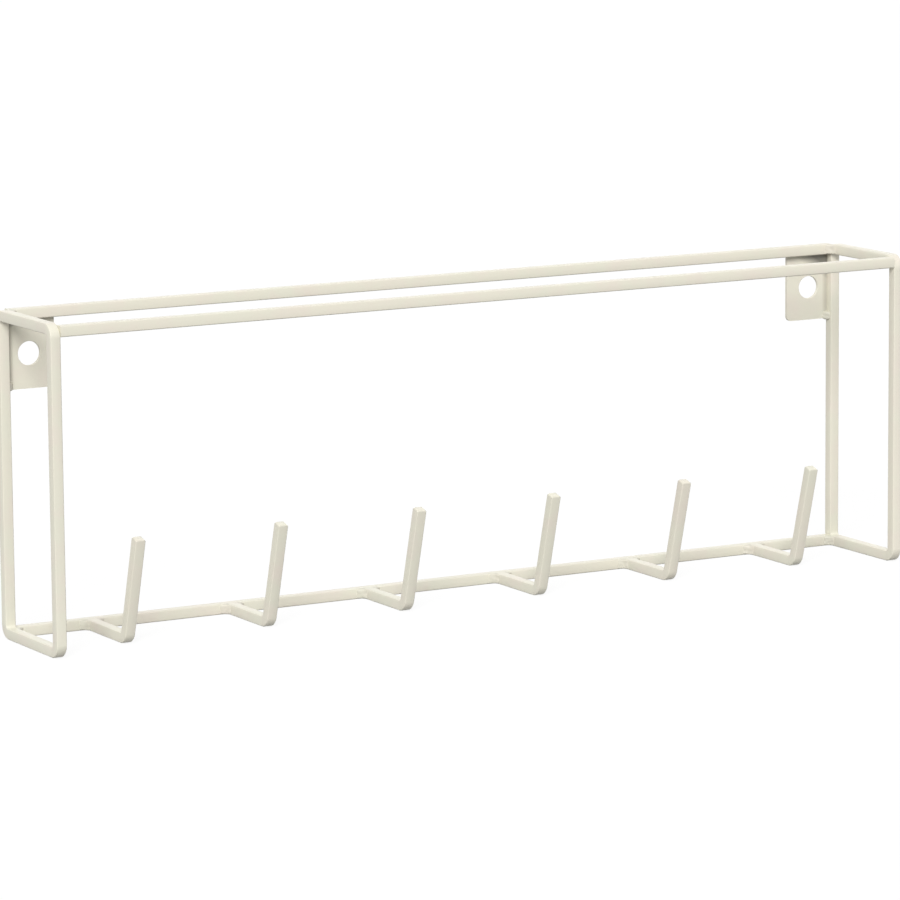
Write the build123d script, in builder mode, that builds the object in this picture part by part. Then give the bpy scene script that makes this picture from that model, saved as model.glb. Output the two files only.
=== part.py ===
from build123d import *

import os
from math import cos, radians, sin, sqrt

# Wall coat rack bent and welded from square bar, in millimetres.
# The wall is the plane y = 0 and the rack stands out from it towards -Y.
# The origin is midway between the two screw holes, on the wall.

# Overall size
WIDTH = 450.0
HEIGHT = 150.0
DEPTH = 60.0

# Square bar that every loop, rail and hook is made from
BAR = 5.0
BAR_EDGE = 0.5
INNER_BEND = 1.5

# Weld beads in the corners where two pieces meet
WELD_LEG = 2.5
WELD_CROWN = 0.2

# The front rail sits a little below the tops of the side frames
FRONT_RAIL_DROP = 1.0

# Hooks, evenly spaced along the bottom rail
HOOK_COUNT = 6
HOOK_END_GAP = 46.25
HOOK_ROW_SHIFT = -3.5
HOOK_REACH = 42.5
HOOK_RISE = 51.0
HOOK_LEAN = 16.0
HOOK_TIP_EDGE = 0.8

# Plates that the wall screws pass through
PLATE_WIDTH = 23.5
PLATE_HEIGHT = 32.0
PLATE_THICKNESS = 1.5
PLATE_CORNER = 2.5
PLATE_WELD_LENGTH = 3.0
HOLE_DIAMETER = 11.0
HOLE_RIM = 0.2
HOLE_FROM_BAR = 11.0
HOLE_BELOW_TOP = 21.0

# Places worked out from the sizes above
TOP = HOLE_BELOW_TOP
BOTTOM = TOP - HEIGHT
INSIDE_WIDTH = WIDTH - 2 * BAR
BEND = INNER_BEND + BAR / 2
FLAT = BAR - 2 * BAR_EDGE
BACK_Y = -BAR / 2
FRONT_Y = -DEPTH + BAR / 2
BOTTOM_Z = BOTTOM + BAR / 2
TOP_Z = TOP - BAR / 2
FRONT_RAIL_Z = TOP_Z - FRONT_RAIL_DROP
HOOK_PITCH = (WIDTH - 2 * HOOK_END_GAP) / (HOOK_COUNT - 1)

# Middle y and z of each rail, and the side that is welded: its front (-1) or its back (1)
RAILS = {
    "top_back_rail": (BACK_Y, TOP_Z, -1),
    "top_front_rail": (FRONT_Y, FRONT_RAIL_Z, 1),
    "bottom_rail": (BACK_Y, BOTTOM_Z, -1),
}


# The bar's section, a square with its corners broken
with BuildSketch() as bar_section:
    Rectangle(BAR, BAR)
    chamfer(bar_section.vertices(), BAR_EDGE)


def weld_section(corner_x, corner_y, toward_x, toward_y):
    """A crowned weld bead in a corner seen from above, on the side that the signs give."""
    foot = (corner_x + toward_x * WELD_LEG, corner_y)
    side = (corner_x, corner_y + toward_y * WELD_LEG)
    depth = WELD_LEG / 2 + WELD_CROWN / sqrt(2)
    crown = (corner_x + toward_x * depth, corner_y + toward_y * depth)
    with BuildSketch() as bead:
        with BuildLine():
            Line((corner_x, corner_y), foot)
            ThreePointArc(foot, crown, side)
            Line(side, (corner_x, corner_y))
        make_face()
    return bead.sketch


def side_frame(label, side):
    """A closed loop of bar at the left (-1) or right (1), with the beads that hold the rails."""
    middle_x = side * (WIDTH - BAR) / 2
    inside_x = side * INSIDE_WIDTH / 2
    beads = []
    for rail_y, rail_z, toward_y in RAILS.values():
        bead = weld_section(inside_x, rail_y + toward_y * BAR / 2, -side, toward_y)
        beads.append((rail_z, bead))
    with BuildPart() as frame:
        with BuildLine(Plane.YZ.offset(middle_x)) as loop:
            FilletPolyline(
                (BACK_Y, BOTTOM_Z),
                (BACK_Y, TOP_Z),
                (FRONT_Y, TOP_Z),
                (FRONT_Y, BOTTOM_Z),
                radius=BEND,
                close=True,
            )
        with BuildSketch(Plane(origin=loop.line @ 0, x_dir=(1, 0, 0), z_dir=loop.line % 0)):
            add(bar_section.sketch)
        sweep(path=loop.line)
        for rail_z, bead in beads:
            with BuildSketch(Plane.XY.offset(rail_z - FLAT / 2)):
                add(bead)
            extrude(amount=FLAT)
    frame.part.label = label
    export_step(frame.part, f"parts/{label}.step")


def rail(label, middle_y, middle_z):
    """A straight bar from one side frame to the other."""
    with BuildPart() as bar:
        with BuildSketch(Plane.YZ.offset(-INSIDE_WIDTH / 2)):
            with Locations((middle_y, middle_z)):
                add(bar_section.sketch)
        extrude(amount=INSIDE_WIDTH)
    bar.part.label = label
    export_step(bar.part, f"parts/{label}.step")


def hook(label, middle_x):
    """A bar bent to an L, with its root welded to the front of the bottom rail."""
    lean = radians(HOOK_LEAN)
    upright = (HOOK_RISE - BAR / 2 - BAR / 2 * sin(lean)) / cos(lean)
    tip_y = -HOOK_REACH - upright * sin(lean)
    tip_z = BOTTOM_Z + upright * cos(lean)
    beads = [weld_section(middle_x + side * BAR / 2, -BAR, side, -1) for side in (-1, 1)]
    with BuildPart() as bar:
        with BuildLine(Plane.YZ.offset(middle_x)) as route:
            FilletPolyline(
                (-BAR, BOTTOM_Z),
                (-HOOK_REACH, BOTTOM_Z),
                (tip_y, tip_z),
                radius=BEND,
            )
        with BuildSketch(Plane(origin=route.line @ 0, x_dir=(1, 0, 0), z_dir=route.line % 0)):
            add(bar_section.sketch)
        sweep(path=route.line)
        tip = bar.faces().sort_by(Axis((0, 0, 0), (0, -sin(lean), cos(lean))))[-1]
        chamfer(tip.edges(), HOOK_TIP_EDGE)
        with BuildSketch(Plane.XY.offset(BOTTOM_Z - FLAT / 2)):
            add(beads)
        extrude(amount=FLAT)
    bar.part.label = label
    export_step(bar.part, f"parts/{label}.step")


def mounting_plate(label, side):
    """A thin plate against the wall, in the upper corner at the left (-1) or right (1)."""
    bar_x = side * INSIDE_WIDTH / 2
    free_x = bar_x - side * PLATE_WIDTH
    plate_top = TOP - BAR
    plate_bottom = plate_top - PLATE_HEIGHT
    bead = weld_section(bar_x, -PLATE_THICKNESS, -side, -1)
    with BuildPart() as plate:
        with BuildSketch(Plane.XZ):
            with BuildLine():
                FilletPolyline(
                    (free_x, plate_top),
                    (free_x, plate_bottom),
                    (bar_x, plate_bottom),
                    radius=PLATE_CORNER,
                )
                Polyline((bar_x, plate_bottom), (bar_x, plate_top), (free_x, plate_top))
            make_face()
            with Locations((bar_x - side * HOLE_FROM_BAR, 0)):
                Circle(HOLE_DIAMETER / 2, mode=Mode.SUBTRACT)
        extrude(amount=PLATE_THICKNESS)
        hole_edges = plate.edges().filter_by(GeomType.CIRCLE).group_by(SortBy.RADIUS)[-1]
        chamfer(hole_edges.sort_by(Axis.Y)[0], HOLE_RIM)
        with BuildSketch(Plane.XY.offset(plate_bottom)):
            add(bead)
        extrude(amount=PLATE_WELD_LENGTH)
    plate.part.label = label
    export_step(plate.part, f"parts/{label}.step")


os.makedirs("parts", exist_ok=True)

side_frame("side_frame_left", -1)
side_frame("side_frame_right", 1)

for name, (middle_y, middle_z, _) in RAILS.items():
    rail(name, middle_y, middle_z)

for number in range(HOOK_COUNT):
    hook_x = HOOK_ROW_SHIFT + (number - (HOOK_COUNT - 1) / 2) * HOOK_PITCH
    hook(f"hook_{number + 1}", hook_x)

mounting_plate("mounting_plate_left", -1)
mounting_plate("mounting_plate_right", 1)
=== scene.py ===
import math

import bpy
from mathutils import Matrix, Vector, noise


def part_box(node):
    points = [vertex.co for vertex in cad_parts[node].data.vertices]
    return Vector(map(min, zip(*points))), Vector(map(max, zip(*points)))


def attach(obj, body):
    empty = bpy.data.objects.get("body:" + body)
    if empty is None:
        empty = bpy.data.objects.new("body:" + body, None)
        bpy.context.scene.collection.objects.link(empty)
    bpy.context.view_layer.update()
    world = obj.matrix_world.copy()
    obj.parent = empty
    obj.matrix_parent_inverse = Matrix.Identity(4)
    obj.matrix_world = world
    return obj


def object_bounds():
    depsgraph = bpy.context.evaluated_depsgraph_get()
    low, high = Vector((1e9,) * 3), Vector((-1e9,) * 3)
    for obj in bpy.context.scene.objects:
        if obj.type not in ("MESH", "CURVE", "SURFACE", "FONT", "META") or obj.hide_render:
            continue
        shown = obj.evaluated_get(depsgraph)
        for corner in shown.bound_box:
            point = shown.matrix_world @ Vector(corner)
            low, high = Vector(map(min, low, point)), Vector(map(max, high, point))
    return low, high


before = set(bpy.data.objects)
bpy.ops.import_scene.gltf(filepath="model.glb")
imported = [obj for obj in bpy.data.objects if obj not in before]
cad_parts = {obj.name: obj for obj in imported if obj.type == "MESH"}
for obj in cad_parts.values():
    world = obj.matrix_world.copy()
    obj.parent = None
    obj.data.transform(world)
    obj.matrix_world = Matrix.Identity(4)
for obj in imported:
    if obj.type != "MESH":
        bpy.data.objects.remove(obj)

cad_low, cad_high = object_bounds()

# The photograph's camera: pixels, millimetres on the sensor, metres and degrees
IMAGE_SIDE_PX = 900
FOCAL_PX = 5017.7
SENSOR_MM = 36.0
CAMERA_X = -1.1304
CAMERA_Y = -2.0472
CAMERA_ABOVE_BASE = 0.4521
CAMERA_REACH = 50.0
TURN_RIGHT = 29.08
TILT_DOWN = 9.37
ROLL = -0.49

# Light: a white room, a soft lamp high on the left in front, and a weak one behind on the right.
# A lamp's softness is its width in degrees, seen from the rack.
ROOM_LIGHT = 0.6
KEY_LIGHT = 2.383
KEY_SOFTNESS = 30.0
KEY_TOWARD = (-0.38, -0.52, 0.4)
FILL_LIGHT = 0.35
FILL_SOFTNESS = 60.0
FILL_TOWARD = (0.55, 0.7, 0.3)

# Floor: half its width in metres, how white it is to light and to the eye, and its own glow
FLOOR_HALF = 6.0
FLOOR_MATT = 0.34
FLOOR_SHOWN_MATT = 0.13
FLOOR_GLOW = 0.88

# Colours of the coat as linear light, and shares of them for painted shade on the welds and on a
# plate's seams and corner
WHITE = (1.0, 1.0, 1.0)
COAT = (0.775, 0.74, 0.625)
COAT_WARM = (0.775, 0.715, 0.62)
COAT_COOL = (0.755, 0.74, 0.62)
FULL_SHADE = 1.0
# The welds' coat is darkened with painted shade, against the strong light their slopes catch
WELD_PAINTED_SHADE = 0.86
SEAM_PAINTED_SHADE = 0.72
CORNER_PAINTED_SHADE = 0.25

# Grain of the coat: sizes and depths in metres, and the span of each noise that is used
CLOUD_SIZE = 0.03
CLOUD_SPAN = (0.35, 0.65)
BLUSH_SIZE = 0.012
BLUSH_SPAN = (0.45, 0.75)
PEEL_SIZE = 0.0009
PEEL_DEPTH = 0.000025
GRAIN_SIZE = 0.00025
GRAIN_SPAN = (0.3, 0.7)
GRAIN_DEPTH = 0.000008
ROUGHNESS = (0.36, 0.48)

# Painted shade on each plate, darkest up to the first distance and gone by the second, in metres:
# out from the bar and the rail, and down from the rail plus a share of the way out from the bar
SEAM_PAINTED_SHADE_SPAN = (0.0012, 0.0032)
CORNER_PAINTED_SHADE_SPAN = {"mounting_plate_left": (0.003, 0.0055), "mounting_plate_right": (0.0062, 0.013)}
CORNER_SLOPE = 0.65

# The rack's bar and plates, in metres, and the shares of a plate's thickness, measured from its
# back, between which the painted shade on its front gives way to none
BAR = 0.005
PLATE_THICKNESS = 0.0015
PLATE_FRONT_SPAN = (0.9, 0.5)

# Weld beads that lie over the ones on the solids, in metres and as shares of their size
WELD_SIZE = 0.0027
WELD_END = 0.0008
WELD_CROWN = 0.13
WELD_FLARE = 0.35
WELD_LUMP = 0.12
WELD_LUMP_SIZE = 0.0016
WELD_STEP = 0.0002
WELD_SPOKES = 32
PLATE_WELD_LENGTH = 0.003
PLATE_WELD_PAST = 0.0008
PLATE_WELD_END = 0.0012
PLATE_WELD_FLARE = 0.0

# Shading: points this near are joined, and faces that turn by more degrees than this are parted
NODE_JOIN = 0.000001
WELD_JOIN = 0.00001
PART_ANGLE = 60
FLATS_WEIGHT = 100

# Sockets of the Mix node for colours, which have the same names as its others
MIX_AMOUNT, MIX_LOW, MIX_HIGH, MIX_RESULT = 0, 6, 7, 2


def add_camera():
    """The camera, left of the rack and a little above it, looking right and down."""
    data = bpy.data.cameras.new("camera")
    data.sensor_width = SENSOR_MM
    data.lens = FOCAL_PX / IMAGE_SIDE_PX * SENSOR_MM
    data.clip_end = CAMERA_REACH
    camera = bpy.data.objects.new("camera", data)
    bpy.context.scene.collection.objects.link(camera)
    camera.location = (CAMERA_X, CAMERA_Y, cad_low.z + CAMERA_ABOVE_BASE)
    turn = Matrix.Rotation(math.radians(-TURN_RIGHT), 4, "Z")
    tilt = Matrix.Rotation(math.radians(90 - TILT_DOWN), 4, "X")
    roll = Matrix.Rotation(math.radians(ROLL), 4, "Z")
    camera.rotation_euler = (turn @ tilt @ roll).to_euler()
    bpy.context.scene.camera = camera


class Nodes:
    """Adds shader nodes to a material or a world and joins them up."""

    def __init__(self, owner):
        owner.use_nodes = True
        self.tree = owner.node_tree
        self.tree.nodes.clear()

    def add(self, kind, inputs=None, **settings):
        """A node with its settings, and each input either linked or set."""
        node = self.tree.nodes.new(kind)
        for name, value in settings.items():
            setattr(node, name, value)
        for name, value in (inputs or {}).items():
            if isinstance(value, bpy.types.NodeSocket):
                self.tree.links.new(value, node.inputs[name])
            else:
                node.inputs[name].default_value = value
        return node

    def math(self, operation, *values):
        """The result of an operation on the values."""
        node = self.add("ShaderNodeMath", dict(enumerate(values)), operation=operation)
        return node.outputs["Value"]

    def mix(self, amount, low, high):
        """The low colour where the amount is 0 and the high one where it is 1."""
        inputs = {MIX_AMOUNT: amount, MIX_LOW: low, MIX_HIGH: high}
        return self.add("ShaderNodeMix", inputs, data_type="RGBA").outputs[MIX_RESULT]

    def noise(self, place, size, detail):
        """Noise from 0 to 1, whose largest blotches have the given size in metres."""
        inputs = {"Vector": place, "Scale": 1 / size, "Detail": detail}
        return self.add("ShaderNodeTexNoise", inputs).outputs["Fac"]

    def span(self, value, low, high, to_low=0.0, to_high=1.0):
        """The value, carried from one span to another and held within it."""
        inputs = {
            "Value": value,
            "From Min": low,
            "From Max": high,
            "To Min": to_low,
            "To Max": to_high,
        }
        return self.add("ShaderNodeMapRange", inputs).outputs["Result"]

    def seen(self):
        """1 for what the camera or a reflection sees, and 0 for light on its way."""
        ray = self.add("ShaderNodeLightPath").outputs
        return self.math("MAXIMUM", ray["Is Camera Ray"], ray["Is Glossy Ray"])


def shaded(colour, shade):
    """A share of a colour, as a shader's socket takes it."""
    return (*(shade * part for part in colour), 1.0)


def paint_plate_shade(nodes, place, colour, corner_painted_shade_span):
    """Paints shade onto a plate's front along its seams with the bar and the rail, and in the
    corner between them, where those bars would shade it."""
    parts = nodes.add("ShaderNodeSeparateXYZ", {"Vector": place}).outputs
    front, back = (-PLATE_THICKNESS * share for share in PLATE_FRONT_SPAN)
    behind = nodes.span(parts["Y"], front, back)
    from_middle = nodes.math("ABSOLUTE", parts["X"])
    from_bar = nodes.math("SUBTRACT", cad_high.x - BAR, from_middle)
    from_rail = nodes.math("SUBTRACT", cad_high.z - BAR, parts["Z"])
    from_seam = nodes.math("MINIMUM", from_bar, from_rail)
    from_corner = nodes.math("MULTIPLY_ADD", from_bar, CORNER_SLOPE, from_rail)
    for distance, reach, shade in (
        (from_seam, SEAM_PAINTED_SHADE_SPAN, SEAM_PAINTED_SHADE),
        (from_corner, corner_painted_shade_span, CORNER_PAINTED_SHADE),
    ):
        # Painted shade: near the seams and the corner the front falls to a share of the coat's
        # colour
        full = nodes.math("MAXIMUM", nodes.span(distance, *reach), behind)
        colour = nodes.mix(full, shaded(COAT, shade), colour)
    return colour


def powder_coat(name, shade, corner_painted_shade_span=None):
    """Satin cream powder coat: faint clouds of tone over a fine orange peel."""
    material = bpy.data.materials.new(name)
    nodes = Nodes(material)
    place = nodes.add("ShaderNodeTexCoord").outputs["Object"]

    clouds = nodes.span(nodes.noise(place, CLOUD_SIZE, detail=3.0), *CLOUD_SPAN)
    blush = nodes.span(nodes.noise(place, BLUSH_SIZE, detail=2.0), *BLUSH_SPAN)
    # A shade below 1 darkens the whole coat with painted shade
    colour = nodes.mix(clouds, shaded(COAT, shade), shaded(COAT_COOL, shade))
    colour = nodes.mix(blush, colour, shaded(COAT_WARM, shade))
    # Painted shade on a plate's seams and corner, where a span for it is given
    if corner_painted_shade_span:
        colour = paint_plate_shade(nodes, place, colour, corner_painted_shade_span)

    peel = nodes.noise(place, PEEL_SIZE, detail=1.0)
    grain = nodes.noise(place, GRAIN_SIZE, detail=2.0)
    peel_bump = nodes.add("ShaderNodeBump", {"Height": peel, "Distance": PEEL_DEPTH})
    peel_normal = peel_bump.outputs["Normal"]
    grain_bump = nodes.add(
        "ShaderNodeBump",
        {"Height": grain, "Distance": GRAIN_DEPTH, "Normal": peel_normal},
    )
    roughness = nodes.span(grain, *GRAIN_SPAN, *ROUGHNESS)

    shader = nodes.add(
        "ShaderNodeBsdfPrincipled",
        {"Base Color": colour, "Roughness": roughness, "Normal": grain_bump.outputs["Normal"]},
    )
    nodes.add("ShaderNodeOutputMaterial", {"Surface": shader.outputs["BSDF"]})
    return material


def white_floor(name):
    """Floor that shows as white, dims where the rack shades it and throws back plain grey light."""
    material = bpy.data.materials.new(name)
    nodes = Nodes(material)
    matt = nodes.add("ShaderNodeBsdfDiffuse", {"Color": shaded(WHITE, FLOOR_MATT)})
    shade = nodes.add("ShaderNodeBsdfDiffuse", {"Color": shaded(WHITE, FLOOR_SHOWN_MATT)})
    glow = nodes.add("ShaderNodeEmission", {"Color": shaded(WHITE, 1), "Strength": FLOOR_GLOW})
    shown = nodes.add(
        "ShaderNodeAddShader",
        {0: shade.outputs["BSDF"], 1: glow.outputs["Emission"]},
    )
    mixed = nodes.add(
        "ShaderNodeMixShader",
        {0: nodes.seen(), 1: matt.outputs["BSDF"], 2: shown.outputs["Shader"]},
    )
    nodes.add("ShaderNodeOutputMaterial", {"Surface": mixed.outputs["Shader"]})
    return material


def add_floor():
    """A wide floor under the side frames."""
    mesh = bpy.data.meshes.new("floor")
    corners = [(FLOOR_HALF * x, FLOOR_HALF * y, 0) for x, y in ((-1, -1), (1, -1), (1, 1), (-1, 1))]
    mesh.from_pydata(corners, [], [(0, 1, 2, 3)])
    mesh.materials.append(white_floor("floor_white"))
    floor = bpy.data.objects.new("floor", mesh)
    floor.location.z = cad_low.z
    bpy.context.scene.collection.objects.link(floor)


def add_world():
    """White light from all round, at full strength where the camera or a reflection sees it."""
    world = bpy.data.worlds.new("studio")
    bpy.context.scene.world = world
    nodes = Nodes(world)
    strength = nodes.span(nodes.seen(), 0.0, 1.0, ROOM_LIGHT, 1.0)
    room = nodes.add("ShaderNodeBackground", {"Color": shaded(WHITE, 1), "Strength": strength})
    nodes.add("ShaderNodeOutputWorld", {"Surface": room.outputs["Background"]})


def add_lamp(name, toward, strength, softness):
    """A soft lamp in the given direction, the same strength all over the floor."""
    data = bpy.data.lights.new(name, "SUN")
    data.energy = strength
    data.angle = math.radians(softness)
    lamp = bpy.data.objects.new(name, data)
    lamp.rotation_euler = Vector(toward).to_track_quat("Z", "Y").to_euler()
    bpy.context.scene.collection.objects.link(lamp)


def join_and_part(piece, join_within):
    """Joins the points that lie together, then parts the faces at sharp edges for the shading."""
    join = piece.modifiers.new("join", "WELD")
    join.merge_threshold = join_within
    part = piece.modifiers.new("part", "EDGE_SPLIT")
    part.split_angle = math.radians(PART_ANGLE)
    part.use_edge_sharp = False


def round_the_edges(node):
    """Shades each narrow broken edge as a round one, and keeps the flats flat."""
    mesh = node.data
    for name in ("custom_normal", "sharp_edge"):
        if name in mesh.attributes:
            mesh.attributes.remove(mesh.attributes[name])
    mesh.shade_smooth()
    join_and_part(node, NODE_JOIN)
    weigh = node.modifiers.new("weigh", "WEIGHTED_NORMAL")
    weigh.weight = FLATS_WEIGHT


def dress_frame(coat):
    """Gives every bar and hook the coat, and each plate one with painted shade of its own."""
    for name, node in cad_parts.items():
        round_the_edges(node)
        own_coat = coat
        if name in CORNER_PAINTED_SHADE_SPAN:
            # A plate's coat carries painted shade in its seams and corner
            own_coat = powder_coat(f"cream_{name}_coat", FULL_SHADE, CORNER_PAINTED_SHADE_SPAN[name])
        for slot in node.material_slots:
            slot.material = own_coat


def bead_points(corner, toward, low_z, high_z, end, flare):
    """Rings of points up a lumpy bead in the corner at (x, y), on the side that the signs give.
    Its shown quarter bulges between flared feet, and the rest is inside the bars."""
    points = []
    steps = math.ceil((high_z - low_z) / WELD_STEP)
    for step in range(steps + 1):
        z = low_z + (high_z - low_z) * step / steps
        from_end = min(z - low_z, high_z - z, end) / end
        thick = math.sqrt(1 - (1 - from_end) ** 2)
        for spoke in range(WELD_SPOKES):
            angle = 2 * math.pi * spoke / WELD_SPOKES
            out_x, out_y = toward[0] * math.cos(angle), toward[1] * math.sin(angle)
            spread = WELD_SIZE / 2
            if spoke <= WELD_SPOKES / 4:
                spread = WELD_SIZE / (abs(out_x) + abs(out_y))
                spread *= 1 + WELD_CROWN * math.sin(2 * angle) + flare * math.cos(2 * angle) ** 4
            surface = Vector((corner[0] + out_x * spread, corner[1] + out_y * spread, z))
            spread *= thick * (1 + WELD_LUMP * noise.noise(surface / WELD_LUMP_SIZE))
            points.append((corner[0] + out_x * spread, corner[1] + out_y * spread, z))
    return points


def add_weld(name, corner, toward, low_z, high_z, coat, end=WELD_END, flare=WELD_FLARE):
    """A closed, lumpy weld bead that stands in a corner from one height to another."""
    points = bead_points(corner, toward, low_z, high_z, end, flare)
    faces = []
    for first in range(len(points) - WELD_SPOKES):
        second = first + 1 if (first + 1) % WELD_SPOKES else first + 1 - WELD_SPOKES
        faces.append((first, second, second + WELD_SPOKES, first + WELD_SPOKES))
    mesh = bpy.data.meshes.new(name)
    mesh.from_pydata(points, [], faces)
    if toward[0] * toward[1] < 0:
        mesh.flip_normals()
    mesh.shade_smooth()
    mesh.materials.append(coat)
    bead = bpy.data.objects.new(name, mesh)
    bpy.context.scene.collection.objects.link(bead)
    join_and_part(bead, WELD_JOIN)
    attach(bead, "root")


def add_welds(coat):
    """A bead at each rail's ends, at each plate's lower corner and beside each hook's root."""
    inside = cad_high.x - BAR
    top_low, top_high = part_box("top_back_rail")
    front_low, front_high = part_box("top_front_rail")
    bottom_low, bottom_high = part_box("bottom_rail")
    hooks = [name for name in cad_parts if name.startswith("hook_")]
    for side, sign in (("left", -1), ("right", 1)):
        for rail, corner_y, toward_y, low_z, high_z in (
            ("top_back", -BAR, -1, top_low.z, top_high.z),
            ("top_front", front_high.y, 1, front_low.z, front_high.z),
            ("bottom", -BAR, -1, bottom_low.z, bottom_high.z),
        ):
            corner = (sign * inside, corner_y)
            add_weld(f"weld_{rail}_{side}", corner, (-sign, toward_y), low_z, high_z, coat)

        plate_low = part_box(f"mounting_plate_{side}")[0]
        add_weld(
            f"weld_plate_{side}",
            (sign * inside, -PLATE_THICKNESS),
            (-sign, -1),
            plate_low.z - PLATE_WELD_PAST,
            plate_low.z + PLATE_WELD_LENGTH + PLATE_WELD_PAST,
            coat,
            PLATE_WELD_END,
            PLATE_WELD_FLARE,
        )

        for hook in hooks:
            hook_low, hook_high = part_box(hook)
            corner = ((hook_low.x + hook_high.x) / 2 + sign * BAR / 2, -BAR)
            add_weld(f"weld_{hook}_{side}", corner, (sign, -1), bottom_low.z, bottom_high.z, coat)


add_camera()
dress_frame(powder_coat("cream_powder_coat", FULL_SHADE))
# The welds get a copy of the coat darkened with painted shade
add_welds(powder_coat("cream_weld_coat_painted_shade", WELD_PAINTED_SHADE))
add_floor()
add_world()
add_lamp("key", KEY_TOWARD, KEY_LIGHT, KEY_SOFTNESS)
add_lamp("fill", FILL_TOWARD, FILL_LIGHT, FILL_SOFTNESS)

bpy.context.scene.view_settings.view_transform = "Standard"
